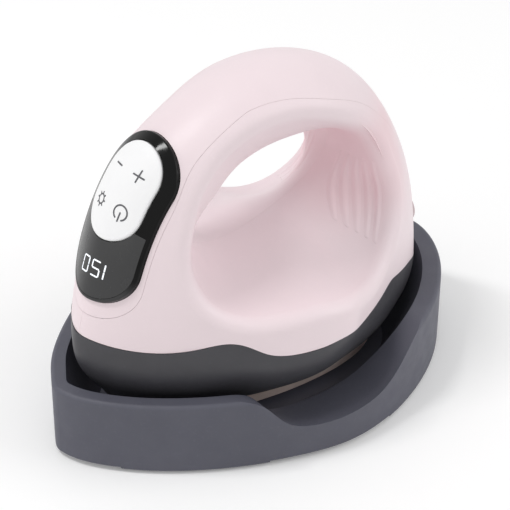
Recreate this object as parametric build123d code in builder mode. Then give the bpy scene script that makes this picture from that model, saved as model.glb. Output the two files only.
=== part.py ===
"""Mini handheld heat press on its docking cradle. Millimetres, +Z up, nose to -Y, origin under the cradle."""
import math
import os

from build123d import *

os.makedirs("parts", exist_ok=True)

# ---------------------------------------------------------------- driving dimensions
# cradle
cradle_half_width = 56.0
cradle_nose_y = -80.0
cradle_heel_y = 80.0
cradle_wide_y = 5.0
cradle_rim_z = 28.8
cradle_rim_wall = 5.0
cradle_rear_wall = 6.8
rear_wall_span = (10.0, 40.0)
cradle_rim_round = 1.4
cradle_floor_z = 6.0
cradle_floor_margin = 4.5
foot_height = 0.8
foot_depth = 1.8
foot_radius = 6.0
foot_places = [(-26.0, -38.0), (26.0, -38.0), (-30.0, 36.0), (30.0, 36.0)]
lift_height = 1.2
dip_slope = 4.0
dip_fade = 9.0
dip_inner_x = 34.0
lifted_stretches = [(-90.0, -68.0), (-27.0, 21.0), (60.0, 90.0)]
rest_pad_height = 2.0
rest_pad_radius = 6.0
rest_pad_places = [(-15.0, -22.0), (15.0, -22.0), (-15.0, 28.0), (15.0, 28.0)]
seat_gap = 0.05

# heat plate and the stack above it
plate_half_width = 29.0
plate_nose_y = -57.0
plate_heel_y = 47.0
plate_wide_y = 8.0
plate_height = 5.0
plate_chamfer = 0.6
plate_lip = 1.0
gasket_height = 0.5
gasket_width = 3.0
element_radius = 2.6
element_half_span = 11.5
element_front_y = -24.0
element_rear_y = 34.0
clamp_half_width = 15.0
clamp_front_y = -32.0
clamp_thickness = 1.5
clamp_screw_places = [(0.0, -16.0), (0.0, 18.0)]
insulation_thickness = 2.4
spacer_radius = 3.2
fuse_radius = 1.9
fuse_length = 12.0
fuse_x = 5.0
strap_half_length = 7.5
strap_half_width = 1.5
strap_post_half = 1.2
strap_thickness = 0.6
plate_hole_depth = 3.0
screw_tip_gap = 0.5

# lower housing
housing_floor_thickness = 2.4
housing_wall = 2.4
housing_wide_z = 40.0
housing_heel_wide_z = 30.0
housing_top_z = 52.0
seam_gap = 0.15
baffle_thickness = 0.5
baffle_margin = 1.0

# upper body, as sections in planes that fan about a line along X
body_half_width = 48.0
body_heel_half_width = 45.0
heel_narrowing = 0.10
heel_start_y = 5.0
heel_end_y = 45.0
fan_y = 3.0
fan_z = 20.0
fan_core = 2.0
fan_step = 12
shell_wall = 2.4
halves_gap = 0.05
cover_gap = 0.1
cover_low_u = -34.7
cover_heel_z = 47.0
# the cover's edge as (half-width, distance up the panel)
cover_shoulder = [(17.4, 5.0), (17.2, 12.0), (15.9, 19.5), (14.6, 26.0), (14.0, 33.0), (13.9, 40.0)]
# where the cover widens over the loop, as (half-width, y)
cover_bulge = [(13.0, -23.0), (14.7, -6.0), (17.0, 6.0), (18.9, 18.0), (18.6, 28.0), (16.6, 40.0),
               (13.0, 53.0)]

# finger loop
throat_mid_y = 3.2
throat_mid_z = 78.5
throat_half_length = 32.0
throat_half_height = 15.0
throat_tilt = 16.0
rim_mid_y = -3.0
rim_mid_z = 80.5
rim_round = 5.0

# control panel, in a plane that leans back over the nose
panel_low = (-66.1, 60.8)
panel_high = (-34.7, 110.5)
bezel_half_width = 16.0
bezel_proud = 1.3
bezel_under = 2.0
bezel_round = 0.7
pad_half_width = 11.9
pad_low_u = -8.3
pad_high_u = 25.8
pad_proud = 1.9
pad_under = 4.0
pad_round = 0.9
pad_gap = 0.35
pad_flange = 0.7
pad_flange_thickness = 1.1
window_margin = 1.1
window_proud = 1.25
window_under = 1.2
window_top_u = -1.0
fit_gap = 0.12

# electronics behind the panel
board_thickness = 1.6
board_half_width = 12.0
board_low_u = -25.0
board_high_u = 23.0
board_top_w = -6.0
tab_half_width = 15.7
tab_length = 5.0
post_x = 14.15
post_rows = (2.0, 14.0)
post_radius = 1.2
post_reach = 14.0
panel_screw_radius = 0.6
panel_screw_reach = 4.0
panel_screw_head = 1.0
key_x = 5.5
key_rows = (2.6, 15.6)
switch_size = 4.5
switch_height = 3.4
plunger_radius = 1.2
plunger_height = 0.8
key_gap = 0.45
pin_radius = 1.0
pin_clearance = 0.06
pin_reach = 4.6
ear_inner = 3.2
ear_gap = 0.3
ear_thickness = 1.6
ear_width = 3.6
bracket_base = 1.0
gimbal_half_height = 1.4
gimbal_w = 0.0
display_half_width = 9.2
display_low_u = -22.5
display_high_u = -11.5
display_top_w = -2.4
display_clearance = 0.3
ribbon_u = -21.0
ribbon_y = -40.5
ribbon_half_width = 5.0
ribbon_thickness = 0.4
ribbon_bend = (-51.0, 46.0)
ribbon_drop_z = 37.0
ribbon_round = 3.0
chip_u = 6.0
chip_size = 9.0
chip_height = 1.4

# power board
power_board_half_width = 18.0
power_board_front_y = -42.0
power_board_rear_y = 28.0
standoff_radius = 2.6
standoff_height = 3.2
standoff_places = [(-13.0, -38.0), (13.0, -38.0), (-11.0, 24.0), (11.0, 24.0)]
terminal_front_y = 17.5
terminal_depth = 8.0
terminal_half_width = 7.8
lead_radius = 0.8
lead_hole_radius = 1.3
lead_rise_y = 40.0
lead_end_x = 4.0

# fasteners and the cord inlet
screw_radius = 1.45
screw_clearance = 0.15
screw_head_radius = 2.8
screw_head_height = 1.4
screw_reach = 10.0
boss_radius = 3.4
boss_clearance = 0.3
boss_top_z = 62.0
shell_screw_places = [(-22.0, -4.0), (22.0, -4.0), (-17.0, 33.0), (17.0, 33.0)]
plate_screw_places = [(-19.0, -18.0), (19.0, -18.0), (-19.0, 26.0), (19.0, 26.0)]
cord_axis_z = 39.5
bush_radius = 5.2
bush_bore_radius = 3.2
bush_inner_y = 60.0
bush_length = 12.4
bush_lip = 1.0
bush_lip_radius = 6.0
bush_collar = 1.6
collar_gap = 0.8
cord_clamp_y = 50.0
cord_clamp_depth = 5.0
cord_clamp_half_width = 7.5
clamp_bolt_x = 5.4
clamp_bolt_radius = 0.9

# ---------------------------------------------------------------- derived heights
plate_low_z = cradle_floor_z + rest_pad_height + seat_gap
plate_top_z = plate_low_z + plate_height
housing_low_z = plate_top_z + gasket_height
element_z = plate_top_z + element_radius
clamp_low_z = element_z + element_radius
clamp_top_z = clamp_low_z + clamp_thickness
floor_low_z = clamp_top_z + insulation_thickness
floor_top_z = floor_low_z + housing_floor_thickness
baffle_top_z = floor_top_z + baffle_thickness
power_board_low_z = baffle_top_z + standoff_height
power_board_top_z = power_board_low_z + board_thickness
lead_places = [(-element_half_span, lead_rise_y), (element_half_span, lead_rise_y)]


def smooth_step(value, low, high):
    share = min(max((value - low) / (high - low), 0), 1)
    return share * share * (3 - 2 * share)


def interpolate(table, value):
    """Smooth curve through (key, result) pairs."""
    last = len(table) - 2
    i = max(k for k in range(last + 1) if k == 0 or table[k][0] <= value)
    (k1, v1), (k2, v2) = table[i], table[i + 1]
    k0, v0 = table[i - 1] if i > 0 else (2 * k1 - k2, 2 * v1 - v2)
    k3, v3 = table[i + 2] if i < last else (2 * k2 - k1, 2 * v2 - v1)
    span = k2 - k1
    t = (value - k1) / span
    m1 = (v2 - v0) / (k2 - k0) * span
    m2 = (v3 - v1) / (k3 - k1) * span
    start = (2 * t**3 - 3 * t**2 + 1) * v1 + (t**3 - 2 * t**2 + t) * m1
    return start + (3 * t**2 - 2 * t**3) * v2 + (t**3 - t**2) * m2


def save(part, name):
    part.label = name
    export_step(part, f"parts/{name}.step")


# ---------------------------------------------------------------- outlines and simple solids
def boat_half(y, half, nose_y, heel_y, wide_y, nose_power, heel_power):
    """Half-width of a boat-shaped outline at y."""
    if y < wide_y:
        share, power = (wide_y - y) / (wide_y - nose_y), nose_power
    else:
        share, power = (y - wide_y) / (heel_y - wide_y), heel_power
    return half * max(1 - min(share, 1) ** power, 0) ** (1 / power)


def closed_outline(half_at, nose_y, heel_y, count=14):
    """Points round a symmetric outline, from the nose up the right side and back down the left."""
    right = []
    for i in range(1, count):
        y = (nose_y + heel_y) / 2 - (heel_y - nose_y) / 2 * math.cos(math.pi * i / count)
        right.append((half_at(y), y))
    return [(0.0, nose_y)] + right + [(0.0, heel_y)] + [(-x, y) for x, y in reversed(right)]


def moved_out(points, distance):
    """The outline's points, each moved outwards along its own normal."""
    result = []
    for i, (x, y) in enumerate(points):
        (x0, y0), (x1, y1) = points[i - 1], points[(i + 1) % len(points)]
        run = math.hypot(x1 - x0, y1 - y0)
        result.append((x + distance * (y1 - y0) / run, y - distance * (x1 - x0) / run))
    return result


def mixed(first, second, share):
    return [(a + (c - a) * share, b + (d - b) * share) for (a, b), (c, d) in zip(first, second)]


def slab(points, low, high):
    """Straight-sided solid over a closed outline."""
    with BuildPart() as plate:
        with BuildSketch(Plane.XY.offset(low)):
            with BuildLine():
                Spline(*points, periodic=True)
            make_face()
        extrude(amount=high - low)
    return plate.part


def layered(layers):
    """Smooth solid through closed outlines at rising heights."""
    with BuildPart() as body:
        for height, points in layers:
            with BuildSketch(Plane.XY.offset(height)):
                with BuildLine():
                    Spline(*points, periodic=True)
                make_face()
        loft()
    return body.part


def discs(places, radius, low, high):
    """Upright cylinders at several places."""
    with BuildPart() as stack:
        with BuildSketch(Plane.XY.offset(low)):
            with Locations(*places):
                Circle(radius)
        extrude(amount=high - low)
    return stack.part


def block(low_corner, high_corner):
    """Box between two opposite corners."""
    sizes = [high - low for low, high in zip(low_corner, high_corner)]
    with BuildPart(Location(low_corner)) as box:
        Box(*sizes, align=(Align.MIN, Align.MIN, Align.MIN))
    return box.part


plate_outline = closed_outline(
    lambda y: boat_half(y, plate_half_width, plate_nose_y, plate_heel_y, plate_wide_y, 1.8, 2.6),
    plate_nose_y, plate_heel_y)
housing_base = moved_out(plate_outline, -plate_lip)
gasket_hole = moved_out(plate_outline, -gasket_width)
cradle_outline = closed_outline(
    lambda y: boat_half(y, cradle_half_width, cradle_nose_y, cradle_heel_y, cradle_wide_y, 1.53, 1.75),
    cradle_nose_y, cradle_heel_y)

# ---------------------------------------------------------------- upper body envelope
side_profile = [(-67, 20), (-70.5, 33), (-70.5, 45), (-66.5, 60.4), (-63, 72.1), (-59.3, 82), (-54.3, 91.8),
                (-46.4, 102.9), (-34, 110.9), (-13.2, 121.2), (5, 123.4), (22, 120.8), (38, 112.6),
                (50.6, 99.3), (60.9, 81.7), (67.8, 62.1), (70.7, 42), (71, 20)]
# how full the arched sections are, by angle round the fan: 2 is an ellipse, less is more pointed
fullness = [(0, 1.62), (15, 1.58), (30, 1.71), (45, 1.78), (60, 1.83), (75, 2), (90, 2.05), (105, 2.07),
            (120, 1.9), (140, 1.8), (160, 1.76), (180, 1.75)]
polar_profile = [(math.degrees(math.atan2(z - fan_z, fan_y - y)), math.hypot(y - fan_y, z - fan_z))
                 for y, z in side_profile]


def arch_radius(angle):
    return interpolate(polar_profile, min(max(angle, 0), 180))


def arch_power(angle):
    return interpolate(fullness, min(max(angle, 0), 180))


def arch_half_width(angle):
    return body_half_width + (body_heel_half_width - body_half_width) * smooth_step(angle, 95, 150)


def heel_taper(y):
    return 1 - heel_narrowing * smooth_step(y, heel_start_y, heel_end_y)


def envelope_half(y, z):
    """Half-width of the upper body at a point of the side view."""
    angle = math.degrees(math.atan2(z - fan_z, fan_y - y))
    share = math.hypot(y - fan_y, z - fan_z) / arch_radius(angle)
    power = arch_power(angle)
    width = arch_half_width(angle) * heel_taper(y)
    return width * max(1 - min(share, 1) ** power, 0) ** (1 / power)


def envelope_edge(start, step, half=0.0):
    """Walks from a (y, z) point in equal steps to where the body is no wider than half to each side."""
    y, z = start
    while envelope_half(y, z) > half:
        y, z = y + step[0], z + step[1]
    return y, z


def fan_plane(angle):
    a = math.radians(angle)
    return Plane(origin=(0, fan_y, fan_z), x_dir=(1, 0, 0), z_dir=(0, -math.sin(a), -math.cos(a)))


def arch_points(angle, grow, count=17):
    power = arch_power(angle)
    width = arch_half_width(angle) + grow
    height = arch_radius(angle) + grow
    foot = math.degrees(math.asin((fan_core / height) ** (power / 2)))
    points = []
    for i in range(count):
        t = math.radians(foot + (180 - 2 * foot) * i / (count - 1))
        rise = height * math.sin(t) ** (2 / power)
        half = width * heel_taper(fan_y - rise * math.cos(math.radians(angle)))
        points.append((math.copysign(half * abs(math.cos(t)) ** (2 / power), math.cos(t)), rise))
    return points


def envelope(grow=0.0):
    """The upper body's outer form, grown outwards, or inwards where grow is negative."""
    with BuildPart() as body:
        for angle in range(0, 181, fan_step):
            with BuildSketch(fan_plane(angle)):
                with BuildLine():
                    arch = Spline(*arch_points(angle, grow))
                    Line(arch @ 1, arch @ 0)
                make_face()
        loft()
    return body.part


# ---------------------------------------------------------------- finger loop
# distance of the loop's rim from its middle, in the side view, by angle from the heel direction
rim_table = [(-188, 38.5), (-180, 38.9), (-160, 39.4), (-147, 38.3), (-136, 35.4), (-118, 30), (-94, 27.1),
             (-74, 29.8), (-62, 34.5), (-55, 39.3), (-45, 44.4), (-35, 47.4), (-28, 48.5), (-21, 48.9),
             (-14, 48.2), (1, 43.3), (16, 40.3), (35, 37.5), (57, 35.3), (77, 33.9), (96, 33.8), (106, 34.1),
             (120, 34.5), (130, 35), (145, 35.9), (162, 37.5), (172, 38.5), (180, 38.9), (200, 39.4)]


def rim_point(theta):
    angle = (math.degrees(theta) + 180) % 360 - 180
    r = interpolate(rim_table, angle)
    return rim_mid_y + r * math.cos(theta), rim_mid_z + r * math.sin(theta)


def throat_point(theta):
    turned = theta - math.radians(throat_tilt)
    length_share = abs(math.cos(turned)) / throat_half_length
    height_share = abs(math.sin(turned)) / throat_half_height
    r = (length_share**2.2 + height_share**2.2) ** (-1 / 2.2)
    return throat_mid_y + r * math.cos(theta), throat_mid_z + r * math.sin(theta)


def flare(theta, share):
    """How far the loop has opened from throat to rim, at a share of the way out to the rim."""
    top = smooth_step(math.sin(theta), -0.5, 0.6)
    if share > 1:
        return 1 + (share - 1) * (top * 1.2 + (1 - top) * 0.35)
    return top * share**2.2 + (1 - top) * (1 - (1 - share) ** 2.5 * (1 + 2.5 * share))


def loop_point(theta, x, grow=0.0):
    (rim_y, rim_z), (throat_y, throat_z) = rim_point(theta), throat_point(theta)
    reach = envelope_half(rim_y, rim_z)
    run_y, run_z = rim_y - throat_y, rim_z - throat_z
    opened = flare(theta, abs(x) / reach)
    slope = (flare(theta, (abs(x) + 0.5) / reach) - opened) * math.hypot(run_y, run_z) / 0.5
    away = grow * math.sqrt(1 + min(slope, 2.0) ** 2)
    y = throat_y + run_y * opened + away * math.cos(theta)
    return y, throat_z + run_z * opened + away * math.sin(theta)


def finger_loop(grow=0.0, count=28):
    """The space through the body, flared towards both sides."""
    stations = [0, 7, 14, 21, 28, 36, 44, 52]
    with BuildPart() as space:
        for x in [-x for x in stations[:0:-1]] + stations:
            points = [loop_point(2 * math.pi * i / count, x, grow) for i in range(count)]
            with BuildSketch(Plane.YZ.offset(x)):
                with BuildLine():
                    Spline(*points, periodic=True)
                make_face()
        loft()
    return space.part


# ---------------------------------------------------------------- seam between upper body and lower housing
seam_front = [(-76, 48.6), (-66, 46.8), (-56, 46.2), (-45, 47.6), (-35, 48.9), (-31, 47.4), (-24, 42.6),
              (-14, 39.8), (-3, 39.2), (7, 39.5), (14, 38.8), (22, 38.3)]
seam_rear = [(22, 38.3), (27, 38.4), (32, 39.1), (37.5, 40), (42, 39), (47, 37.7), (52.5, 36.2), (57, 34.3),
             (60, 32.6), (76, 32.4)]


def above_seam(shift=0.0):
    """Everything above the seam line."""
    with BuildPart() as upper:
        with BuildSketch(Plane.YZ):
            with BuildLine():
                front = Spline(*[(y, z + shift) for y, z in seam_front])
                rear = Spline(*[(y, z + shift) for y, z in seam_rear])
                Polyline(rear @ 1, (76, 140), (-76, 140), front @ 0)
            make_face()
        extrude(amount=60, both=True)
    return upper.part


# ---------------------------------------------------------------- panel plane
chord_y, chord_z = panel_high[0] - panel_low[0], panel_high[1] - panel_low[1]
chord = math.hypot(chord_y, chord_z)
along_y, along_z = chord_y / chord, chord_z / chord
panel_mid_y, panel_mid_z = (panel_low[0] + panel_high[0]) / 2, (panel_low[1] + panel_high[1]) / 2
panel_plane = Plane(origin=(0, panel_mid_y, panel_mid_z), x_dir=(1, 0, 0), z_dir=(0, -along_z, along_y))
pad_mid_u = (pad_low_u + pad_high_u) / 2


def panel_side(u, w):
    """Side-view (y, z) of a point u up the panel and w out of it."""
    return panel_mid_y + u * along_y - w * along_z, panel_mid_z + u * along_z + w * along_y


def stadium(low_u, high_u, half, low_w=-18.0, high_w=22.0):
    """Round-ended block that stands on the panel plane."""
    with BuildPart() as prism:
        with BuildSketch(panel_plane.offset(low_w)):
            with Locations((0, (low_u + high_u) / 2)):
                SlotOverall(high_u - low_u, 2 * half, rotation=90)
        extrude(amount=high_w - low_w)
    return prism.part


def panel_pins(places, radius, low_w, high_w):
    """Cylinders that stand on the panel plane at (x, u) places."""
    with BuildPart() as pins:
        with BuildSketch(panel_plane.offset(low_w)):
            with Locations(*places):
                Circle(radius)
        extrude(amount=high_w - low_w)
    return pins.part


def panel_blocks(places, width, length, low_w, high_w):
    """Rectangular blocks that stand on the panel plane at (x, u) places."""
    with BuildPart() as blocks:
        with BuildSketch(panel_plane.offset(low_w)):
            with Locations(*places):
                Rectangle(width, length)
        extrude(amount=high_w - low_w)
    return blocks.part


def skin(outer, inner):
    """Layer that follows the body's surface, from one growth of the envelope to another."""
    with BuildPart() as layer:
        add(envelope(outer))
        add(envelope(inner), mode=Mode.SUBTRACT)
    return layer.part


# ---------------------------------------------------------------- upper body: cover and two halves
cover_tool_reach = 130.0
bezel_half_length = chord / 2
loop_space = finger_loop()

with BuildPart() as cavity:
    add(envelope(-shell_wall))
    add(finger_loop(shell_wall), mode=Mode.SUBTRACT)

with BuildPart() as upper_body:
    add(envelope())
    add(above_seam(seam_gap), mode=Mode.INTERSECT)
    add(loop_space, mode=Mode.SUBTRACT)
    add(cavity.part, mode=Mode.SUBTRACT)
    rims = upper_body.edges().filter_by(lambda e: e.is_closed).sort_by(lambda e: abs(e.center().X))[-2:]
    fillet(rims, rim_round)


def cover_tool(margin=0.0):
    """Skin of the body inside the cover's outline, which runs round the panel and along the handle."""
    half, low = cover_shoulder[0][0] + margin, cover_low_u - margin
    with BuildPart() as bulge:
        with BuildSketch(Plane.XY.offset(throat_mid_z)):
            with BuildLine():
                edges = [Spline(*[(side * (x + margin), y) for x, y in cover_bulge]) for side in (-1, 1)]
                Line(edges[0] @ 0, edges[1] @ 0)
                Line(edges[0] @ 1, edges[1] @ 1)
            make_face()
        extrude(amount=cover_tool_reach - throat_mid_z)
    with BuildPart() as tool:
        with BuildSketch(panel_plane.offset(-cover_tool_reach)):
            with BuildLine():
                right = Spline(*[(x + margin, u) for x, u in cover_shoulder], tangents=[(0, 1), (0, 1)])
                left = Spline(*[(-x - margin, u) for x, u in cover_shoulder], tangents=[(0, 1), (0, 1)])
                Line(right @ 0, (half, low + half))
                ThreePointArc((half, low + half), (0, low), (-half, low + half))
                Line((-half, low + half), left @ 0)
                narrow = (right @ 1).X
                Polyline(left @ 1, (-narrow, cover_tool_reach), (narrow, cover_tool_reach), right @ 1)
            make_face()
        extrude(amount=cover_tool_reach + 22)
        add(bulge.part)
        add(block((-60, fan_y, 0), (60, 90, cover_heel_z - margin)), mode=Mode.SUBTRACT)
        add(skin(1.0, -shell_wall - 0.05), mode=Mode.INTERSECT)
    return tool.part


with BuildPart() as top_cover:
    add(upper_body.part)
    add(cover_tool(), mode=Mode.INTERSECT)
    add(stadium(-bezel_half_length - fit_gap, bezel_half_length + fit_gap, bezel_half_width + fit_gap),
        mode=Mode.SUBTRACT)
save(top_cover.part, "top_cover")


def cord_plane(y):
    return Plane(origin=(0, y, cord_axis_z), x_dir=(1, 0, 0), z_dir=(0, 1, 0))


with BuildPart() as shells:
    add(upper_body.part)
    add(cover_tool(cover_gap), mode=Mode.SUBTRACT)
    with BuildSketch(cord_plane(bush_inner_y)):
        Circle(bush_radius + fit_gap)
    extrude(amount=bush_length, mode=Mode.SUBTRACT)

with BuildPart() as bosses:
    add(discs(shell_screw_places, boss_radius, floor_top_z + fit_gap, boss_top_z))
    add(discs(shell_screw_places, screw_radius + fit_gap, floor_top_z, floor_top_z + screw_reach),
        mode=Mode.SUBTRACT)
    add(finger_loop(shell_wall / 2), mode=Mode.SUBTRACT)

for name, side in (("shell_left", -1), ("shell_right", 1)):
    inner, outer = sorted((side * halves_gap / 2, side * 70.0))
    with BuildPart() as half_shell:
        add(shells.part)
        add(bosses.part)
        add(block((inner, -90, 0), (outer, 90, 140)), mode=Mode.INTERSECT)
    save(half_shell.part, name)

# ---------------------------------------------------------------- lower housing
housing_levels = (housing_low_z, 17.0, 22.0, 28.0, 34.0, housing_wide_z, housing_top_z)


def envelope_outline(z):
    nose_y = envelope_edge((fan_y, z), (-0.05, 0))[0]
    heel_y = envelope_edge((fan_y, z), (0.05, 0))[0]
    return closed_outline(lambda y: envelope_half(y, z), nose_y, heel_y)


def housing_outline(z):
    """A little inside the plate's outline at the plate, and the upper body's outline just below the seam."""
    points = []
    for near, far in zip(housing_base, envelope_outline(max(z, fan_z + 2))):
        full_z = housing_wide_z + (housing_heel_wide_z - housing_wide_z) * smooth_step(far[1], 5, 30)
        t = min(max(z - housing_low_z, 0) / (full_z - housing_low_z), 1)
        points.append(mixed([near], [far], (1 - (1 - t) ** 1.8) ** 0.7)[0])
    return points


with BuildPart() as lower_housing:
    add(layered([(z, housing_outline(z)) for z in housing_levels]))
    add(layered([(z, moved_out(housing_outline(z), -housing_wall))
                 for z in (floor_top_z, *housing_levels[3:-1], housing_top_z + 1)]), mode=Mode.SUBTRACT)
    add(slab(gasket_hole, housing_low_z - 1, floor_low_z), mode=Mode.SUBTRACT)
    add(above_seam(), mode=Mode.SUBTRACT)
    add(discs(shell_screw_places, screw_head_radius + screw_clearance, floor_low_z,
              floor_low_z + screw_head_height), mode=Mode.SUBTRACT)
    add(discs(shell_screw_places + plate_screw_places, screw_radius + screw_clearance, floor_low_z,
              floor_top_z), mode=Mode.SUBTRACT)
    add(discs(lead_places, lead_hole_radius, floor_low_z, floor_top_z), mode=Mode.SUBTRACT)
save(lower_housing.part, "lower_housing")

with BuildPart() as shell_screws:
    add(discs(shell_screw_places, screw_head_radius, floor_low_z, floor_low_z + screw_head_height))
    add(discs(shell_screw_places, screw_radius, floor_low_z + screw_head_height,
              floor_top_z + screw_reach - 1))
save(shell_screws.part, "shell_screws")

# ---------------------------------------------------------------- heat plate and its stack
with BuildPart() as heat_plate:
    add(slab(plate_outline, plate_low_z, plate_top_z))
    chamfer(heat_plate.edges().group_by(Axis.Z)[0], plate_chamfer)
    add(discs(plate_screw_places + clamp_screw_places, screw_radius + fit_gap, plate_top_z - plate_hole_depth,
              plate_top_z), mode=Mode.SUBTRACT)
save(heat_plate.part, "heat_plate")

with BuildPart() as plate_gasket:
    add(slab(housing_base, plate_top_z, housing_low_z))
    add(slab(gasket_hole, plate_top_z, housing_low_z), mode=Mode.SUBTRACT)
save(plate_gasket.part, "plate_gasket")

with BuildPart() as heating_element:
    with BuildLine(Plane.XY.offset(element_z)):
        Line((-element_half_span, element_rear_y), (-element_half_span, element_front_y))
        ThreePointArc((-element_half_span, element_front_y), (0, element_front_y - element_half_span),
                      (element_half_span, element_front_y))
        Line((element_half_span, element_front_y), (element_half_span, element_rear_y))
    with BuildSketch(Plane(origin=(-element_half_span, element_rear_y, element_z), z_dir=(0, -1, 0))):
        Circle(element_radius)
    sweep()
save(heating_element.part, "heating_element")

with BuildPart() as element_clamp:
    add(block((-clamp_half_width, clamp_front_y, clamp_low_z),
              (clamp_half_width, element_rear_y - 2, clamp_top_z)))
    add(discs(clamp_screw_places, screw_radius + screw_clearance, clamp_low_z, clamp_top_z),
        mode=Mode.SUBTRACT)
save(element_clamp.part, "element_clamp")

with BuildPart() as clamp_screws:
    add(discs(clamp_screw_places, screw_head_radius, clamp_top_z, clamp_top_z + screw_head_height))
    add(discs(clamp_screw_places, screw_radius, plate_top_z - plate_hole_depth + screw_tip_gap, clamp_top_z))
save(clamp_screws.part, "clamp_screws")

with BuildPart() as insulation_pad:
    add(block((-clamp_half_width, clamp_front_y, clamp_top_z),
              (clamp_half_width, element_rear_y, floor_low_z)))
    add(discs(clamp_screw_places, screw_head_radius + screw_clearance, clamp_top_z, floor_low_z),
        mode=Mode.SUBTRACT)
save(insulation_pad.part, "insulation_pad")

with BuildPart() as plate_spacers:
    add(discs(plate_screw_places, spacer_radius, plate_top_z, floor_low_z))
    add(discs(plate_screw_places, screw_radius + screw_clearance, plate_top_z, floor_low_z),
        mode=Mode.SUBTRACT)
save(plate_spacers.part, "plate_spacers")

with BuildPart() as heat_baffle:
    add(slab(moved_out(plate_outline, -baffle_margin), floor_top_z, baffle_top_z))
    add(discs(shell_screw_places, boss_radius + boss_clearance, floor_top_z, baffle_top_z),
        mode=Mode.SUBTRACT)
    add(discs(plate_screw_places, screw_radius + screw_clearance, floor_top_z, baffle_top_z),
        mode=Mode.SUBTRACT)
    add(discs(lead_places, lead_hole_radius, floor_top_z, baffle_top_z), mode=Mode.SUBTRACT)
save(heat_baffle.part, "heat_baffle")

with BuildPart() as plate_screws:
    add(discs(plate_screw_places, screw_head_radius, baffle_top_z, baffle_top_z + screw_head_height))
    add(discs(plate_screw_places, screw_radius, plate_top_z - plate_hole_depth + screw_tip_gap, baffle_top_z))
save(plate_screws.part, "plate_screws")

for name, x in (("thermal_fuse", -fuse_x), ("temperature_sensor", fuse_x)):
    with BuildPart() as capsule:
        with BuildSketch(Plane(origin=(x, -fuse_length / 2, plate_top_z + fuse_radius), z_dir=(0, 1, 0))):
            Circle(fuse_radius)
        extrude(amount=fuse_length)
    save(capsule.part, name)

with BuildPart() as sensor_strap:
    strap_low_z = plate_top_z + 2 * fuse_radius
    add(block((-strap_half_length, -strap_half_width, strap_low_z),
              (strap_half_length, strap_half_width, strap_low_z + strap_thickness)))
    add(block((-strap_post_half, -strap_half_width, plate_top_z),
              (strap_post_half, strap_half_width, strap_low_z)))
save(sensor_strap.part, "sensor_strap")

# ---------------------------------------------------------------- power board
board_component_sizes = {
    "relay": ((-16.0, -33.0), (12.0, 16.0, 14.0)),
    "power_module": ((-11.0, -9.0), (22.0, 16.0, 15.0)),
    "tilt_switch": ((-16.0, 11.0), (6.0, 4.0, 7.0)),
    "terminal_block": ((-terminal_half_width, terminal_front_y),
                       (2 * terminal_half_width, terminal_depth, 8.0)),
}

with BuildPart() as power_board:
    add(block((-power_board_half_width, power_board_front_y, power_board_low_z),
              (power_board_half_width, power_board_rear_y, power_board_top_z)))
    fillet(power_board.edges().filter_by(Axis.Z), 2.0)
    add(discs(standoff_places, screw_radius + screw_clearance, power_board_low_z, power_board_top_z),
        mode=Mode.SUBTRACT)
save(power_board.part, "power_board")

with BuildPart() as board_standoffs:
    add(discs(standoff_places, standoff_radius, baffle_top_z, power_board_low_z))
    add(discs(standoff_places, screw_radius + fit_gap, baffle_top_z, power_board_low_z), mode=Mode.SUBTRACT)
save(board_standoffs.part, "board_standoffs")

with BuildPart() as board_screws:
    add(discs(standoff_places, standoff_radius, power_board_top_z, power_board_top_z + screw_head_height))
    add(discs(standoff_places, screw_radius, baffle_top_z + 0.4, power_board_top_z))
save(board_screws.part, "board_screws")

for name, ((x, y), (width, length, height)) in board_component_sizes.items():
    with BuildPart() as component:
        add(block((x, y, power_board_top_z), (x + width, y + length, power_board_top_z + height)))
        fillet(component.edges().filter_by(Axis.Z), 0.6)
    save(component.part, name)

round_component_sizes = {"capacitor": ((9.0, -26.0), 5.0, 13.0), "buzzer": ((12.5, 14.0), 4.0, 5.0)}
for name, (place, radius, height) in round_component_sizes.items():
    save(discs([place], radius, power_board_top_z, power_board_top_z + height), name)

with BuildPart() as element_leads:
    for side in (-1, 1):
        x, lead_z = side * element_half_span, power_board_top_z + 4
        with BuildLine() as route:
            FilletPolyline((x, element_rear_y, element_z), (x, lead_rise_y, element_z),
                           (x, lead_rise_y, lead_z),
                           (side * lead_end_x, terminal_front_y + terminal_depth + 6, lead_z),
                           (side * lead_end_x, terminal_front_y + terminal_depth, lead_z), radius=2.0)
        with BuildSketch(Plane(origin=(x, element_rear_y, element_z), z_dir=(0, 1, 0))):
            Circle(lead_radius)
        sweep(path=route.line)
save(element_leads.part, "element_leads")

# ---------------------------------------------------------------- cord inlet at the heel
collar_radius = bush_radius + bush_collar
heel_side_y = envelope_edge((fan_y, cord_axis_z), (0.05, 0), collar_radius)[0]
inner_collar_y = heel_side_y - shell_wall - bush_collar - collar_gap
lip_y = bush_inner_y + bush_length - bush_lip

with BuildPart() as cord_bush:
    with BuildSketch(cord_plane(bush_inner_y)):
        Circle(bush_radius)
    extrude(amount=bush_length)
    for low_y, radius, length in ((inner_collar_y, collar_radius, bush_collar),
                                  (lip_y, bush_lip_radius, bush_lip)):
        with BuildSketch(cord_plane(low_y)):
            Circle(radius)
        extrude(amount=length)
    with BuildSketch(cord_plane(bush_inner_y)):
        Circle(bush_bore_radius)
    extrude(amount=bush_length, mode=Mode.SUBTRACT)
save(cord_bush.part, "cord_bush")

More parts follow.
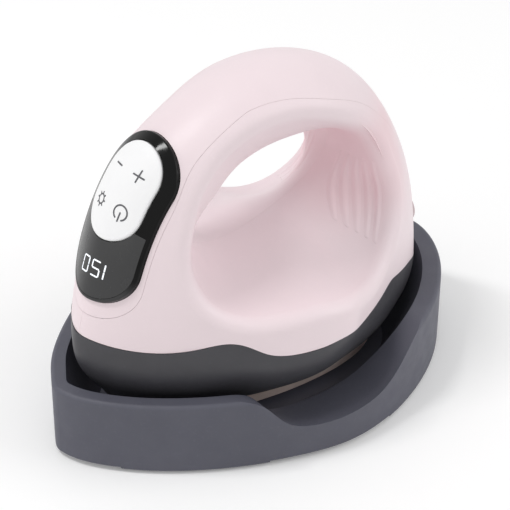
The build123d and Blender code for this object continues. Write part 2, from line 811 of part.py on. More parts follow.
clamp_bolt_places = [(-clamp_bolt_x, cord_clamp_y), (clamp_bolt_x, cord_clamp_y)]
clamp_cap_z = cord_axis_z + bush_bore_radius + 1.8
for name, low, high in (("cord_clamp", floor_top_z, cord_axis_z),
                        ("cord_clamp_cap", cord_axis_z, clamp_cap_z)):
    with BuildPart() as jaw:
        add(block((-cord_clamp_half_width, cord_clamp_y - cord_clamp_depth / 2, low),
                  (cord_clamp_half_width, cord_clamp_y + cord_clamp_depth / 2, high)))
        with BuildSketch(cord_plane(cord_clamp_y - cord_clamp_depth)):
            Circle(bush_bore_radius)
        extrude(amount=2 * cord_clamp_depth, mode=Mode.SUBTRACT)
        add(discs(clamp_bolt_places, clamp_bolt_radius + fit_gap, cord_axis_z - 8, clamp_cap_z),
            mode=Mode.SUBTRACT)
    save(jaw.part, name)

with BuildPart() as cord_clamp_screws:
    add(discs(clamp_bolt_places, clamp_bolt_radius, cord_axis_z - 7, clamp_cap_z))
    add(discs(clamp_bolt_places, 2 * clamp_bolt_radius, clamp_cap_z, clamp_cap_z + screw_head_height))
save(cord_clamp_screws.part, "cord_clamp_screws")

# ---------------------------------------------------------------- control panel
post_places = [(side * post_x, row) for side in (-1, 1) for row in post_rows]
key_places = [(side * key_x, row) for side in (-1, 1) for row in key_rows]
window_half_width = bezel_half_width - window_margin
window_half_length = bezel_half_length - window_margin
board_low_w = board_top_w - board_thickness
plunger_top_w = board_top_w + switch_height + plunger_height
display_mid_u = (display_low_u + display_high_u) / 2


def window_solid(outer, inner, margin=0.0):
    """Layer of the body's skin below the pad, inside the bezel's edge."""
    top_u, band = window_top_u + margin, pad_gap - margin
    with BuildPart() as window:
        add(skin(outer, inner))
        add(stadium(-window_half_length - margin, window_half_length + margin, window_half_width + margin),
            mode=Mode.INTERSECT)
        add(panel_blocks([(0, top_u + chord / 2)], chord, chord, -18.0, 22.0), mode=Mode.SUBTRACT)
        add(stadium(pad_low_u - band, pad_high_u + bezel_half_length, pad_half_width + band),
            mode=Mode.SUBTRACT)
    return window.part


def panel_plate(outer, inner, low_u, high_u, half, edge_round):
    """Round-ended piece of the body's skin, with its outer edge rounded."""
    with BuildPart() as plate:
        add(skin(outer, inner))
        add(stadium(low_u, high_u, half), mode=Mode.INTERSECT)
        front = plate.faces().sort_by(lambda face: panel_plane.to_local_coords(face.center()).Z)[-1]
        fillet(front.edges(), edge_round)
    return plate.part


with BuildPart() as panel_bezel:
    add(panel_plate(bezel_proud, -bezel_under, -bezel_half_length, bezel_half_length, bezel_half_width,
                    bezel_round))
    add(panel_pins(post_places, post_radius, board_top_w, post_reach) & envelope(-bezel_under / 2))
    add(panel_pins(post_places, panel_screw_radius + 0.05, board_top_w, board_top_w + panel_screw_reach),
        mode=Mode.SUBTRACT)
    add(stadium(pad_low_u - pad_gap, pad_high_u + pad_gap, pad_half_width + pad_gap), mode=Mode.SUBTRACT)
    add(window_solid(bezel_proud + 1, -window_under - fit_gap, fit_gap), mode=Mode.SUBTRACT)
    add(panel_blocks([(0, display_mid_u)], 2 * (display_half_width + display_clearance),
                     display_high_u - display_low_u + 2 * display_clearance, board_top_w, post_reach),
        mode=Mode.SUBTRACT)
save(panel_bezel.part, "panel_bezel")

save(window_solid(window_proud, -window_under), "display_window")


def cross_pins(reach, radius, w, directions=((1, 0), (0, 1))):
    """Round pins across the pad's tilt centre, along x, along u, or both."""
    y, z = panel_side(pad_mid_u, w)
    with BuildPart() as pins:
        for across, up in directions:
            axis = (across, up * along_y, up * along_z)
            start = (-reach * across, y - reach * axis[1], z - reach * axis[2])
            with BuildSketch(Plane(origin=start, z_dir=axis)):
                Circle(radius)
            extrude(amount=2 * reach)
    return pins.part


lug_places = [(0, pad_mid_u + side * (ear_inner + ear_thickness / 2)) for side in (-1, 1)]
ear_places = [(side * (ear_inner + ear_thickness / 2), pad_mid_u) for side in (-1, 1)]

with BuildPart() as keypad:
    add(panel_plate(pad_proud, -pad_under, pad_low_u, pad_high_u, pad_half_width, pad_round))
    add(skin(-pad_under + pad_flange_thickness, -pad_under)
        & stadium(pad_low_u - pad_flange, pad_high_u + pad_flange, pad_half_width + pad_flange))
    add(panel_pins(key_places, plunger_radius, plunger_top_w + key_gap, post_reach) & envelope(-pad_under / 2))
    add(panel_blocks(lug_places, ear_width, ear_thickness, gimbal_w - ear_width / 2, post_reach)
        & envelope(-pad_under / 2))
    add(cross_pins(pin_reach + 2, pin_radius + pin_clearance, gimbal_w, [(0, 1)]), mode=Mode.SUBTRACT)
save(keypad.part, "keypad")

with BuildPart() as pad_gimbal:
    add(cross_pins(pin_reach, pin_radius, gimbal_w))
    add(panel_blocks([(0, pad_mid_u)], 2 * (ear_inner - ear_gap), 2 * (ear_inner - ear_gap),
                     gimbal_w - gimbal_half_height, gimbal_w + gimbal_half_height))
save(pad_gimbal.part, "pad_gimbal")

with BuildPart() as gimbal_bracket:
    add(panel_blocks([(0, pad_mid_u)], 2 * (ear_inner + ear_thickness), ear_width, board_top_w,
                     board_top_w + bracket_base))
    add(panel_blocks(ear_places, ear_thickness, ear_width, board_top_w, gimbal_w + ear_width / 2))
    add(cross_pins(pin_reach + 2, pin_radius + pin_clearance, gimbal_w, [(1, 0)]), mode=Mode.SUBTRACT)
save(gimbal_bracket.part, "gimbal_bracket")

with BuildPart() as tact_switches:
    add(panel_blocks(key_places, switch_size, switch_size, board_top_w, board_top_w + switch_height))
    add(panel_pins(key_places, plunger_radius, board_top_w + switch_height, plunger_top_w))
save(tact_switches.part, "tact_switches")

with BuildPart() as control_board:
    add(panel_blocks([(0, (board_low_u + board_high_u) / 2)], 2 * board_half_width,
                     board_high_u - board_low_u, board_low_w, board_top_w))
    add(panel_blocks([(0, row) for row in post_rows], 2 * tab_half_width, tab_length, board_low_w,
                     board_top_w))
    add(panel_pins(post_places, panel_screw_radius + 0.1, board_low_w, board_top_w), mode=Mode.SUBTRACT)
save(control_board.part, "control_board")

with BuildPart() as panel_screws:
    add(panel_pins(post_places, panel_screw_radius, board_low_w,
                   board_top_w + panel_screw_reach - screw_tip_gap))
    add(panel_pins(post_places, 2 * panel_screw_radius, board_low_w - panel_screw_head, board_low_w))
save(panel_screws.part, "panel_screws")

save(panel_blocks([(0, display_mid_u)], 2 * display_half_width, display_high_u - display_low_u, board_top_w,
                  display_top_w), "display_module")
save(panel_blocks([(0, chip_u)], chip_size, chip_size, board_low_w - chip_height, board_low_w),
     "controller_chip")

with BuildPart() as panel_ribbon:
    with BuildSketch(Plane.YZ):
        with BuildLine():
            FilletPolyline(panel_side(ribbon_u, board_low_w - ribbon_thickness / 2), ribbon_bend,
                           (ribbon_y, ribbon_drop_z), (ribbon_y, power_board_top_z), radius=ribbon_round)
        trace(line_width=ribbon_thickness)
    extrude(amount=ribbon_half_width, both=True)
save(panel_ribbon.part, "panel_ribbon")

# ---------------------------------------------------------------- docking cradle
dip_profile = [(-36, 28.8), (-30, 27.0), (-21, 18.0), (-8, 14.2), (5, 14.5), (16, 16.5), (28, 23.2),
               (36, 27.8), (42, 28.8)]


def dip_tool():
    """Space above the low stretch of the rim, sloping inwards."""
    with BuildPart() as tool:
        for x, drop in ((dip_inner_x, dip_slope), (cradle_half_width + 2, 0)):
            with BuildSketch(Plane.YZ.offset(x)):
                with BuildLine():
                    curve = Spline(*[(y, z - drop * min((cradle_rim_z - z) / dip_fade, 1))
                                     for y, z in dip_profile])
                    Polyline(curve @ 1, (42, 50), (-36, 50), curve @ 0)
                make_face()
        loft()
    return tool.part


with BuildPart() as cradle:
    add(slab(cradle_outline, foot_height, cradle_rim_z))
    chamfer(cradle.edges().group_by(Axis.Z)[0], cradle_rim_round / 2)
    fillet(cradle.edges().group_by(Axis.Z)[-1], cradle_rim_round)
    floor_outline = moved_out(plate_outline, cradle_floor_margin)
    rim_outline = [mixed([thin], [thick], smooth_step(thin[1], *rear_wall_span))[0] for thin, thick in zip(
        moved_out(cradle_outline, -cradle_rim_wall), moved_out(cradle_outline, -cradle_rear_wall))]
    depth = cradle_rim_z - cradle_floor_z
    add(layered([(z, mixed(floor_outline, rim_outline, ((z - cradle_floor_z) / depth) ** 0.8))
                 for z in (cradle_floor_z, 11.0, 17.0, 23.0, cradle_rim_z + 0.2)]), mode=Mode.SUBTRACT)
    add(dip_tool(), mode=Mode.SUBTRACT)
    add(dip_tool().mirror(Plane.YZ), mode=Mode.SUBTRACT)
    for low_y, high_y in lifted_stretches:
        add(block((-60, low_y, 0), (60, high_y, foot_height + lift_height)), mode=Mode.SUBTRACT)
    add(discs(foot_places, foot_radius, 0, foot_height + foot_depth), mode=Mode.SUBTRACT)
save(cradle.part, "cradle")

save(discs(foot_places, foot_radius, 0, foot_height + foot_depth), "cradle_feet")
save(discs(rest_pad_places, rest_pad_radius, cradle_floor_z, cradle_floor_z + rest_pad_height), "rest_pads")
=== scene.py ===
"""Mini handheld heat press on its docking cradle: finishes, printed marks, light and camera.

Metres, +Z up, nose towards -Y. The printed marks and the ribs are laid out in millimetres, but their heights
off the surface, like everything else, are in metres.
"""
import math

import bmesh
import bpy
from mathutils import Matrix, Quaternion, Vector
from mathutils.bvhtree import BVHTree


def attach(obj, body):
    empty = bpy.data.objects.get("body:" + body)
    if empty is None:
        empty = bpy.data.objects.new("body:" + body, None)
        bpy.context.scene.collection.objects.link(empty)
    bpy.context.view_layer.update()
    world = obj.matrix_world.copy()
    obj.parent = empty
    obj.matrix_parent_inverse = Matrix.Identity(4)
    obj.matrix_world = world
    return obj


MM = 0.001
# the panel's own axes: u runs up its slope from its middle, and out is its normal
SLOPE_Y, SLOPE_Z = 0.53413, 0.8454
PANEL_UP = Vector((0, SLOPE_Y, SLOPE_Z))
PANEL_OUT = Vector((0, -SLOPE_Z, SLOPE_Y))
PANEL_MIDDLE = Vector((0, -50.4, 85.65)) * MM

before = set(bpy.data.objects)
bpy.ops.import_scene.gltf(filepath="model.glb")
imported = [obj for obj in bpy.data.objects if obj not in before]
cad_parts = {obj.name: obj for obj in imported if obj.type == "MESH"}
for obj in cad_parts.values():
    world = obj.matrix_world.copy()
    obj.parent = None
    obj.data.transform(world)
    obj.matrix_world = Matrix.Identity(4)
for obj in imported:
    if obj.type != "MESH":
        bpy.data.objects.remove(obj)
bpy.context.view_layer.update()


# ---------------------------------------------------------------- finishes
class Finish:
    """A material whose detail comes from textures in the object's own space."""

    def __init__(self, name, colour, roughness, metallic=0.0, specular=0.5, sheen=0.0):
        self.material = bpy.data.materials.new(name)
        self.material.use_nodes = True
        self.material.diffuse_color = (*colour, 1)
        self.tree = self.material.node_tree
        self.shader = self.tree.nodes["Principled BSDF"]
        self.colour = colour
        self.roughness = roughness
        self.place = self.node("ShaderNodeTexCoord").outputs["Object"]
        sockets = {"Base Color": (*colour, 1), "Roughness": roughness, "Metallic": metallic,
                   "Specular IOR Level": specular, "Sheen Weight": sheen}
        for socket, value in sockets.items():
            self.shader.inputs[socket].default_value = value

    def node(self, kind, links=(), **inputs):
        """New node. Inputs are values by socket name, with _ for a space; links are (socket, output)."""
        made = self.tree.nodes.new(kind)
        for socket, value in inputs.items():
            made.inputs[socket.replace("_", " ")].default_value = value
        for socket, output in links:
            self.tree.links.new(output, made.inputs[socket])
        return made

    def math(self, operation, first, second=0.0, clamp=False):
        """Output of a math node whose operands are numbers or outputs."""
        made = self.tree.nodes.new("ShaderNodeMath")
        made.operation = operation
        made.use_clamp = clamp
        for socket, value in zip(made.inputs, (first, second)):
            if isinstance(value, (int, float)):
                socket.default_value = value
            else:
                self.tree.links.new(value, socket)
        return made.outputs[0]

    def axes(self):
        """Outputs X, Y and Z of the place in the object's own space."""
        return self.node("ShaderNodeSeparateXYZ", [("Vector", self.place)]).outputs

    def ramp(self, value, low, high, to_low=0.0, to_high=1.0):
        """Smooth change from to_low to to_high as value goes from low to high."""
        made = self.node("ShaderNodeMapRange", [("Value", value)], From_Min=low, From_Max=high,
                         To_Min=to_low, To_Max=to_high)
        made.interpolation_type = "SMOOTHSTEP"
        return made.outputs["Result"]

    def noise(self, size, detail=2.0, stretch=(1, 1, 1), distortion=0.0):
        """Noise whose patches are about size metres across, stretched by a factor along each axis."""
        mapping = self.node("ShaderNodeMapping", [("Vector", self.place)], Scale=[1 / s for s in stretch])
        made = self.node("ShaderNodeTexNoise", [("Vector", mapping.outputs[0])], Scale=1 / size,
                         Detail=detail, Roughness=0.55, Distortion=distortion)
        return made.outputs["Fac"]

    def tint(self, factor, other, amount=1.0):
        """Mixes another colour into the base where factor is high. Several add up."""
        mix = self.tree.nodes.new("ShaderNodeMix")
        mix.data_type = "RGBA"
        self.tree.links.new(self.math("MULTIPLY", factor, amount, clamp=True), mix.inputs["Factor"])
        base = self.shader.inputs["Base Color"]
        if base.is_linked:
            self.tree.links.new(base.links[0].from_socket, mix.inputs["A"])
        else:
            mix.inputs["A"].default_value = (*self.colour, 1)
        mix.inputs["B"].default_value = (*other, 1)
        self.tree.links.new(mix.outputs["Result"], base)

    def rough(self, factor, spread):
        """Roughness that varies by spread to each side with factor."""
        value = self.ramp(factor, 0.3, 0.7, self.roughness - spread, self.roughness + spread)
        self.tree.links.new(value, self.shader.inputs["Roughness"])

    def bump(self, height, depth):
        """Relief whose height runs from 0 to 1 over depth metres. Several add up."""
        made = self.node("ShaderNodeBump", [("Height", height)], Strength=1.0, Distance=depth)
        normal = self.shader.inputs["Normal"]
        if normal.is_linked:
            self.tree.links.new(normal.links[0].from_socket, made.inputs["Normal"])
        self.tree.links.new(made.outputs["Normal"], normal)


def shade(colour, factor):
    """The colour made darker or lighter by a factor."""
    return tuple(min(channel * factor, 1) for channel in colour)


def moulded(name, colour, roughness, grain=0.0006, depth=0.000012, mottle=0.05):
    """Moulded plastic: fine spark-eroded grain, faint flow marks and handling wear in the gloss."""
    finish = Finish(name, colour, roughness)
    finish.tint(finish.ramp(finish.noise(0.03, 3), 0.35, 0.65), shade(colour, 1 - mottle))
    finish.tint(finish.ramp(finish.noise(0.0012, 2), 0.55, 0.75), shade(colour, 1 + mottle), 0.5)
    finish.rough(finish.noise(0.006, 4), 0.05)
    finish.bump(finish.noise(grain, 2), depth)
    return finish


def glossy(name, colour, roughness, specular):
    """High-gloss plastic with a trace of orange peel and fine dust."""
    finish = Finish(name, colour, roughness, specular=specular)
    finish.tint(finish.ramp(finish.noise(0.00035, 1), 0.72, 0.8), shade(colour, 2.0), 0.5)
    finish.rough(finish.noise(0.004, 3), 0.03)
    finish.bump(finish.noise(0.003, 1), 0.000008)
    return finish


def metal(name, colour, roughness, stretch, metallic=1.0):
    """Metal with drawn or turned marks along the stretched axis."""
    finish = Finish(name, colour, roughness, metallic=metallic)
    finish.tint(finish.ramp(finish.noise(0.008, 3), 0.4, 0.7), shade(colour, 0.86))
    marks = finish.noise(0.0004, 2, stretch)
    finish.rough(marks, 0.08)
    finish.bump(marks, 0.00001)
    return finish


def rubber(name, colour, roughness=0.8):
    """Silicone or rubber: soft sheen, a little bloom and dust."""
    finish = Finish(name, colour, roughness, specular=0.3, sheen=0.3)
    finish.tint(finish.ramp(finish.noise(0.002, 4), 0.5, 0.75), shade(colour, 1.25))
    finish.rough(finish.noise(0.003, 3), 0.06)
    finish.bump(finish.noise(0.0005, 3), 0.00002)
    return finish


def fibre(name, colour):
    """Felted ceramic fibre: matted strands that cross each other."""
    finish = Finish(name, colour, 0.95, specular=0.1, sheen=0.5)
    along = finish.noise(0.0005, 3, (6, 1, 1), 0.5)
    across = finish.noise(0.0005, 3, (1, 6, 1), 0.5)
    strands = finish.math("MAXIMUM", along, across)
    finish.tint(finish.ramp(strands, 0.5, 0.75), shade(colour, 0.72))
    finish.rough(along, 0.04)
    finish.bump(strands, 0.00015)
    return finish


def board(name, colour):
    """Solder mask over copper tracks, with tinned pads."""
    finish = Finish(name, colour, 0.38)
    tracks = finish.node("ShaderNodeTexBrick", [("Vector", finish.place)], Scale=1.0, Mortar_Size=0.0003,
                         Brick_Width=0.006, Row_Height=0.0022, Color1=(0, 0, 0, 1), Color2=(0, 0, 0, 1),
                         Mortar=(1, 1, 1, 1)).outputs["Color"]
    finish.tint(tracks, shade(colour, 2.0), 0.7)
    pads = finish.node("ShaderNodeTexVoronoi", [("Vector", finish.place)], Scale=260.0, Randomness=0.35)
    finish.tint(finish.ramp(pads.outputs["Distance"], 0.16, 0.12), (0.6, 0.6, 0.58), 0.9)
    finish.rough(finish.noise(0.002, 2), 0.06)
    finish.bump(tracks, 0.00003)
    return finish


def shell_finish():
    """Satin blush plastic, with painted shade deepening its colour at the back of the finger loop."""
    finish = moulded("blush_satin", (0.87, 0.742, 0.772), 0.42, grain=0.0005, depth=0.000006, mottle=0.02)
    axes = finish.axes()
    painted_loop_shade = finish.ramp(finish.math("ABSOLUTE", axes["X"]), 0.034, 0.016)
    # each pair is where the painted shade is gone and where it is full
    fades = {"Y": ((0.008, 0.034), (0.06, 0.046)), "Z": ((0.052, 0.07), (0.108, 0.09))}
    for axis, pairs in fades.items():
        for gone, full in pairs:
            painted_loop_shade = finish.math("MULTIPLY", painted_loop_shade, finish.ramp(axes[axis], gone, full))
    # painted shade: the back of the finger loop, under the handle, is coloured darker and pinker
    finish.tint(painted_loop_shade, (0.84, 0.6, 0.635), 0.75)
    return finish


def bezel_finish():
    """Black gloss that turns into the smoked grey of the window round the panel's lower end."""
    finish = glossy("bezel_gloss", (0.002, 0.002, 0.002), 0.1, specular=0.16)
    axes = finish.axes()
    up_panel = finish.math("ADD", finish.math("MULTIPLY", axes["Y"], SLOPE_Y),
                           finish.math("MULTIPLY", axes["Z"], SLOPE_Z))
    finish.tint(finish.ramp(up_panel, 0.0305, 0.0225), (0.05, 0.05, 0.051))
    return finish


finishes = {
    "blush": shell_finish(),
    "charcoal": moulded("charcoal_satin", (0.046, 0.045, 0.052), 0.45, depth=0.00001, mottle=0.12),
    "slate": moulded("slate_matt", (0.093, 0.094, 0.122), 0.55, depth=0.000015, mottle=0.1),
    "gloss": bezel_finish(),
    "smoked": glossy("smoked_window", (0.052, 0.052, 0.053), 0.25, specular=0.2),
    "pad": moulded("pad_white", (0.92, 0.92, 0.925), 0.5, depth=0.000006, mottle=0.02),
    "print": moulded("icon_print", (0.11, 0.11, 0.12), 0.6, depth=0.000003, mottle=0.15),
    "plate": metal("plate_coating", (0.8, 0.66, 0.6), 0.5, (1, 8, 1), metallic=0.5),
    "steel": metal("bright_steel", (0.62, 0.61, 0.6), 0.28, (1, 1, 6)),
    "sheet": metal("mill_aluminium", (0.76, 0.76, 0.77), 0.38, (1, 10, 1)),
    "brass": metal("turned_brass", (0.78, 0.58, 0.26), 0.25, (5, 5, 1)),
    "silicone": rubber("grey_silicone", (0.35, 0.34, 0.33), 0.7),
    "feet": rubber("black_rubber", (0.03, 0.03, 0.03)),
    "felt": fibre("ceramic_felt", (0.8, 0.77, 0.7)),
    "heatproof": moulded("heat_plastic", (0.62, 0.57, 0.48), 0.6, mottle=0.1),
    "green": board("solder_mask", (0.015, 0.12, 0.045)),
    "component": moulded("component_black", (0.022, 0.022, 0.024), 0.5, mottle=0.2),
    "relay": moulded("component_blue", (0.02, 0.07, 0.28), 0.35, mottle=0.1),
    "sleeve": rubber("red_sleeve", (0.42, 0.03, 0.025), 0.55),
    "ribbon": moulded("ribbon_film", (0.72, 0.72, 0.7), 0.35, mottle=0.05),
    "bush": rubber("bush_rubber", (0.62, 0.5, 0.52), 0.65),
}

worn_by = {
    "blush": ["shell_left", "shell_right", "top_cover"],
    "charcoal": ["lower_housing", "cord_clamp", "cord_clamp_cap"],
    "slate": ["cradle"],
    "gloss": ["panel_bezel"],
    "smoked": ["display_window"],
    "pad": ["keypad"],
    "plate": ["heat_plate"],
    "steel": ["heating_element", "clamp_screws", "temperature_sensor", "sensor_strap", "plate_screws",
              "shell_screws", "gimbal_bracket", "pad_gimbal", "panel_screws", "board_screws",
              "cord_clamp_screws"],
    "sheet": ["element_clamp", "heat_baffle"],
    "brass": ["board_standoffs"],
    "silicone": ["rest_pads", "plate_gasket"],
    "feet": ["cradle_feet"],
    "felt": ["insulation_pad"],
    "heatproof": ["thermal_fuse", "plate_spacers"],
    "green": ["control_board", "power_board"],
    "component": ["tact_switches", "controller_chip", "display_module", "capacitor", "power_module",
                  "buzzer"],
    "relay": ["relay", "terminal_block", "tilt_switch"],
    "sleeve": ["element_leads"],
    "ribbon": ["panel_ribbon"],
    "bush": ["cord_bush"],
}

for finish_name, members in worn_by.items():
    for member in members:
        for material_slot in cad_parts[member].material_slots:
            material_slot.material = finishes[finish_name].material


# ---------------------------------------------------------------- pieces added to the CAD
def surface(node):
    """Search tree of a CAD node's mesh."""
    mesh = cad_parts[node].data
    return BVHTree.FromPolygons([v.co for v in mesh.vertices], [p.vertices for p in mesh.polygons])


def new_piece(name, mesh, finish, smooth=False):
    """Object made from a bmesh, which is freed."""
    bmesh.ops.recalc_face_normals(mesh, faces=mesh.faces)
    data = bpy.data.meshes.new(name)
    mesh.to_mesh(data)
    mesh.free()
    for face in data.polygons:
        face.use_smooth = smooth
    data.materials.append(finish.material)
    made = bpy.data.objects.new(name, data)
    bpy.context.scene.collection.objects.link(made)
    return made


# printed marks, drawn in the panel's own (x, u)
PROBE_HEIGHT = 0.02
PRINT_STEP = 0.35
ARC_STEP = 8
CAP_TURNS = [math.radians(turn) for turn in (60, 30, 0, -30, -60)]
ICON_STROKE, ICON_LIFT = 0.55, 0.00006
DIGIT_STROKE, DIGIT_LIFT = 0.5, 0.00004


def on_panel(tree, x, u, lift):
    """Point above the surface that lies under the panel's (x, u), lift metres off it along its normal."""
    start = PANEL_MIDDLE + PANEL_UP * u * MM + PANEL_OUT * PROBE_HEIGHT
    start.x = x * MM
    place, normal, *_ = tree.ray_cast(start, -PANEL_OUT)
    return place + normal * lift


def stroke(points, width):
    """Centre line, in short steps, and half width of a printed line of even width."""
    path = [Vector(p) for p in points]
    steps = []
    for first, last in zip(path, path[1:]):
        count = max(2, math.ceil((last - first).length / PRINT_STEP))
        steps += [first.lerp(last, i / count) for i in range(count)]
    steps.append(path[-1])
    return steps, width / 2


def arc(x, u, radius, start, end):
    """Points of an arc between two angles in degrees."""
    count = max(4, round(abs(end - start) / ARC_STEP))
    angles = [math.radians(start + (end - start) * i / count) for i in range(count + 1)]
    return [(x + radius * math.cos(a), u + radius * math.sin(a)) for a in angles]


def stroke_outline(steps, half):
    """Left side, far end, right side back and near end of a band with rounded ends."""
    left, right, ends = [], [], []
    for i, point in enumerate(steps):
        ahead = (steps[min(i + 1, len(steps) - 1)] - steps[max(i - 1, 0)]).normalized()
        side = Vector((-ahead.y, ahead.x)) * half
        left.append(point + side)
        right.append(point - side)
    for tip, direction in ((0, steps[0] - steps[1]), (-1, steps[-1] - steps[-2])):
        direction.normalize()
        side = Vector((-direction.y, direction.x))
        ends.append([steps[tip] + (side * math.sin(t) + direction * math.cos(t)) * half for t in CAP_TURNS])
    return left + ends[1] + right[::-1] + ends[0]


def printed(name, strokes, node, body, finish, lift):
    """Thin raised print, draped over a node."""
    tree = surface(node)
    mesh = bmesh.new()
    for steps, half in strokes:
        outline = stroke_outline(steps, half)
        top, foot = ([mesh.verts.new(on_panel(tree, p.x, p.y, offset)) for p in outline]
                     for offset in (lift, -lift))
        count, last = len(outline), len(steps) - 1
        across = count - len(CAP_TURNS) - 1
        for i in range(last):
            mesh.faces.new((top[i], top[i + 1], top[across - i - 1], top[across - i]))
        mesh.faces.new(top[last:last + len(CAP_TURNS) + 2])
        mesh.faces.new(top[across:] + top[:1])
        for i in range(count):
            j = (i + 1) % count
            mesh.faces.new((top[i], top[j], foot[j], foot[i]))
    made = new_piece(name, mesh, finish)
    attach(made, body)


RIGHT_X, LEFT_X, LOW_ROW, HIGH_ROW = 5.2, -5.2, 2.8, 15.9
PLUS_HALF = 2.05
POWER_RADIUS, POWER_STEM = 2.45, 2.9
WHEEL_RADIUS, TOOTH_FROM, TOOTH_TO = 1.6, 1.95, 2.4

icons = {
    "mark_plus": [[(RIGHT_X - PLUS_HALF, HIGH_ROW), (RIGHT_X + PLUS_HALF, HIGH_ROW)],
                  [(RIGHT_X, HIGH_ROW - PLUS_HALF), (RIGHT_X, HIGH_ROW + PLUS_HALF)]],
    "mark_minus": [[(LEFT_X - 1.3, HIGH_ROW - 0.2), (LEFT_X + 2.1, HIGH_ROW - 0.2)]],
    "mark_power": [arc(RIGHT_X, LOW_ROW, POWER_RADIUS, -60, 240),
                   [(RIGHT_X, LOW_ROW - POWER_STEM), (RIGHT_X, LOW_ROW)]],
    "mark_timer": [arc(LEFT_X, LOW_ROW, WHEEL_RADIUS, 0, 360)],
}
for turn in range(0, 360, 45):
    out = Vector((math.cos(math.radians(turn)), math.sin(math.radians(turn))))
    icons["mark_timer"].append([Vector((LEFT_X, LOW_ROW)) + out * r for r in (TOOTH_FROM, TOOTH_TO)])
for name, lines in icons.items():
    strokes = [stroke(line, ICON_STROKE) for line in lines]
    printed(name, strokes, "keypad", "keys", finishes["print"], ICON_LIFT)

# soft ribs at the back of the finger loop, each along a fan of rays from the middle of the loop
RIB_STEPS, RIB_ACROSS = 30, 8
RIB_ROOTS = [7.2, 10.2, 13.2, 16.2, 19.2]
RIB_HALF_WIDTH = 1.3
RIB_HEIGHT, RIB_SINK, RIB_THICKNESS = 0.0006, 0.00005, 0.00025
FAN_START, FAN_SPAN = 6, 45
SWEEP_START, SWEEP_SPAN, SWEEP = -5, 33, 7.3
LOOP_MIDDLE = Vector((0, 3.2, 78.5)) * MM


def rib_point(tree, x, angle, lift):
    """Point lift metres inside the loop from where the ray at x and angle meets the shell."""
    start = LOOP_MIDDLE + Vector((x * MM, 0, 0))
    direction = Vector((0, math.cos(math.radians(angle)), math.sin(math.radians(angle))))
    place, normal, *_ = tree.ray_cast(start, direction)
    if normal.dot(direction) > 0:
        normal = -normal
    return place + normal * lift


def rib_grid(mesh, tree, root, side, depth):
    """Rows of vertices along one rib, depth metres under its crest line's height."""
    grid = []
    for i in range(RIB_STEPS + 1):
        angle = FAN_START - FAN_SPAN * i / RIB_STEPS
        sweep = SWEEP * (max(SWEEP_START - angle, 0) / SWEEP_SPAN) ** 2
        swell = math.sin(math.pi * i / RIB_STEPS) ** 0.6
        row = []
        for j in range(RIB_ACROSS + 1):
            t = 2 * j / RIB_ACROSS - 1
            x = side * (root + sweep + RIB_HALF_WIDTH * t)
            lift = RIB_HEIGHT * swell * math.cos(math.pi * t / 2) ** 2 - RIB_SINK - depth
            row.append(mesh.verts.new(rib_point(tree, x, angle, lift)))
        grid.append(row)
    return grid


def grip_ribs(name, node, side):
    """Five closed ribs on one shell, sunk a little into it."""
    tree = surface(node)
    mesh = bmesh.new()
    for root in RIB_ROOTS:
        top, foot = (rib_grid(mesh, tree, root, side, depth) for depth in (0.0, RIB_THICKNESS))
        for i in range(RIB_STEPS):
            for j in range(RIB_ACROSS):
                for grid in (top, foot):
                    mesh.faces.new((grid[i][j], grid[i + 1][j], grid[i + 1][j + 1], grid[i][j + 1]))
            for j in (0, RIB_ACROSS):
                mesh.faces.new((top[i][j], top[i + 1][j], foot[i + 1][j], foot[i][j]))
        for i in (0, RIB_STEPS):
            for j in range(RIB_ACROSS):
                mesh.faces.new((top[i][j], top[i][j + 1], foot[i][j + 1], foot[i][j]))
    made = new_piece(name, mesh, finishes["blush"], smooth=True)
    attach(made, "press")


grip_ribs("grip_ribs_right", "shell_right", 1)
grip_ribs("grip_ribs_left", "shell_left", -1)

# the figures are lit through the smoked window, and stand on their heads as seen from the nose
DIGIT_SHEAR = 0.12
DIGIT_X, DIGIT_U, DIGIT_PITCH = 2.3, -18.3, 5.2
DIGIT_HALF_WIDTH, DIGIT_HALF_HEIGHT, DIGIT_GAP = 1.65, 2.6, 0.32
SEGMENTS = {"a": ((-1, 1), (1, 1)), "b": ((1, 1), (1, 0)), "c": ((1, 0), (1, -1)), "d": ((-1, -1), (1, -1)),
            "e": ((-1, 0), (-1, -1)), "f": ((-1, 1), (-1, 0)), "g": ((-1, 0), (1, 0))}
LIT = {1: "bc", 5: "acdfg", 0: "abcdef"}


def figure(value, place):
    """Strokes of a seven-segment figure, turned by half a turn and sheared about the middle figure."""
    strokes = []
    for key in LIT[value]:
        ends = [Vector((x * DIGIT_HALF_WIDTH, u * DIGIT_HALF_HEIGHT)) for x, u in SEGMENTS[key]]
        gap = (ends[1] - ends[0]).normalized() * DIGIT_GAP
        ends = [ends[0] + gap, ends[1] - gap]
        points = [(place - e.x, DIGIT_U - e.y + DIGIT_SHEAR * (place - e.x - DIGIT_X)) for e in ends]
        strokes.append(stroke(points, DIGIT_STROKE))
    return strokes


glow = Finish("figure_glow", (0.9, 0.92, 0.95), 0.4)
glow.shader.inputs["Emission Color"].default_value = (0.88, 0.93, 1.0, 1)
glow.shader.inputs["Emission Strength"].default_value = 0.45
glow.tint(glow.ramp(glow.noise(0.0008, 2), 0.4, 0.7), (0.75, 0.8, 0.86))
glow.rough(glow.noise(0.001, 2), 0.05)
for position, value in enumerate((1, 5, 0)):
    strokes = figure(value, DIGIT_X + DIGIT_PITCH * (1 - position))
    printed(f"figure_{position + 1}", strokes, "display_window", "press", glow, DIGIT_LIFT)


# ---------------------------------------------------------------- floor, light and camera
FLOOR_HALF = 6
FLOOR_ALBEDO, FLOOR_GLOW = 0.93, 0.12
SKY_LIGHT, SKY_SEEN = 0.6, 1.0
LIGHT_TARGET = Vector((0, 0, 0.06))


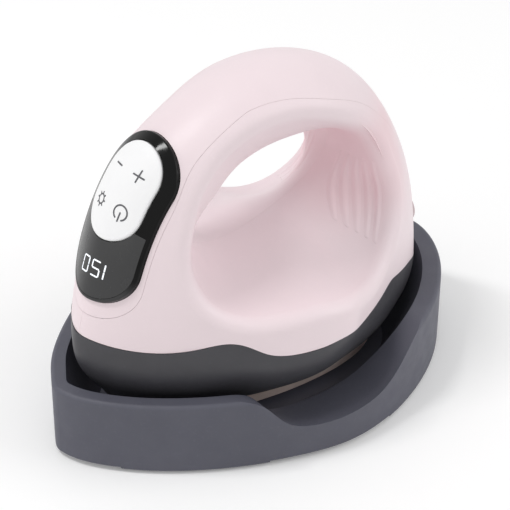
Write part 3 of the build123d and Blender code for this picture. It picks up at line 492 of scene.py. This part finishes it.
def seen_directly(tree):
    """1 for rays from the camera, and for those that a gloss or a glass sends on."""
    path = tree.nodes.new("ShaderNodeLightPath")
    seen = path.outputs["Is Camera Ray"]
    for other in ("Is Glossy Ray", "Is Transmission Ray"):
        add = tree.nodes.new("ShaderNodeMath")
        add.operation = "MAXIMUM"
        tree.links.new(seen, add.inputs[0])
        tree.links.new(path.outputs[other], add.inputs[1])
        seen = add.outputs[0]
    return seen


def floor_material():
    """Pale diffuse floor that is lifted a little where it is seen, so the open floor is white."""
    look = bpy.data.materials.new("floor_white")
    look.use_nodes = True
    tree = look.node_tree
    tree.nodes.clear()
    output = tree.nodes.new("ShaderNodeOutputMaterial")
    paint = tree.nodes.new("ShaderNodeBsdfDiffuse")
    paint.inputs["Color"].default_value = (FLOOR_ALBEDO, FLOOR_ALBEDO, FLOOR_ALBEDO, 1)
    lift = tree.nodes.new("ShaderNodeEmission")
    lift.inputs["Color"].default_value = (1, 1, 1, 1)
    scale = tree.nodes.new("ShaderNodeMath")
    scale.operation = "MULTIPLY"
    scale.inputs[1].default_value = FLOOR_GLOW
    tree.links.new(seen_directly(tree), scale.inputs[0])
    tree.links.new(scale.outputs[0], lift.inputs["Strength"])
    total = tree.nodes.new("ShaderNodeAddShader")
    tree.links.new(paint.outputs[0], total.inputs[0])
    tree.links.new(lift.outputs[0], total.inputs[1])
    tree.links.new(total.outputs[0], output.inputs["Surface"])
    return look


def white_surround():
    """Even white light from all round, that is pure white where it is seen."""
    world = bpy.data.worlds.new("studio")
    bpy.context.scene.world = world
    world.use_nodes = True
    tree = world.node_tree
    sky = tree.nodes["Background"]
    sky.inputs["Color"].default_value = (1, 1, 1, 1)
    span = tree.nodes.new("ShaderNodeMapRange")
    span.inputs["To Min"].default_value = SKY_LIGHT
    span.inputs["To Max"].default_value = SKY_SEEN
    tree.links.new(seen_directly(tree), span.inputs["Value"])
    tree.links.new(span.outputs["Result"], sky.inputs["Strength"])


def softbox(name, place, width, height, power, roll=0.0):
    """Rectangular lamp that looks at the press, rolled by degrees about its aim."""
    lamp = bpy.data.lights.new(name, "AREA")
    lamp.shape = "RECTANGLE"
    lamp.size = width
    lamp.size_y = height
    lamp.energy = power
    made = bpy.data.objects.new(name, lamp)
    made.location = place
    aim = (LIGHT_TARGET - Vector(place)).to_track_quat("-Z", "Y")
    made.rotation_euler = (aim @ Quaternion((0, 0, 1), math.radians(roll))).to_euler()
    bpy.context.scene.collection.objects.link(made)


floor_mesh = bpy.data.meshes.new("floor")
corners = [(x * FLOOR_HALF, y * FLOOR_HALF, 0) for x, y in ((-1, -1), (1, -1), (1, 1), (-1, 1))]
floor_mesh.from_pydata(corners, [], [(0, 1, 2, 3)])
floor = bpy.data.objects.new("floor", floor_mesh)
bpy.context.scene.collection.objects.link(floor)
floor_mesh.materials.append(floor_material())
white_surround()

softbox("key", (-0.25, 0.35, 1.3), 1.0, 1.0, 0.3)
softbox("side", (0.85, 0.95, 0.7), 1.0, 1.0, 5)
softbox("front", (-0.2, -1.2, 0.5), 1.0, 0.8, 2)
softbox("strip", (-0.22, -0.4, 1.0), 0.32, 0.085, 3.2, roll=51)

# the camera looks at the target from this far, turned from the nose towards +X and raised by degrees
CAMERA_TARGET = Vector((0, -4.69, 53.33)) * MM
CAMERA_DISTANCE = 0.6852
AZIMUTH, ELEVATION = math.radians(52.4), math.radians(35.4)
back = Vector((math.sin(AZIMUTH) * math.cos(ELEVATION), -math.cos(AZIMUTH) * math.cos(ELEVATION),
               math.sin(ELEVATION)))
view = bpy.data.cameras.new("camera")
view.sensor_width = 36
view.lens = 141.2
view.shift_x = 0.0357
view.shift_y = -0.0127
camera = bpy.data.objects.new("camera", view)
camera.location = CAMERA_TARGET + back * CAMERA_DISTANCE
camera.rotation_euler = (-back).to_track_quat("-Z", "Y").to_euler()
bpy.context.scene.collection.objects.link(camera)
bpy.context.scene.camera = camera
bpy.context.scene.view_settings.view_transform = "Standard"
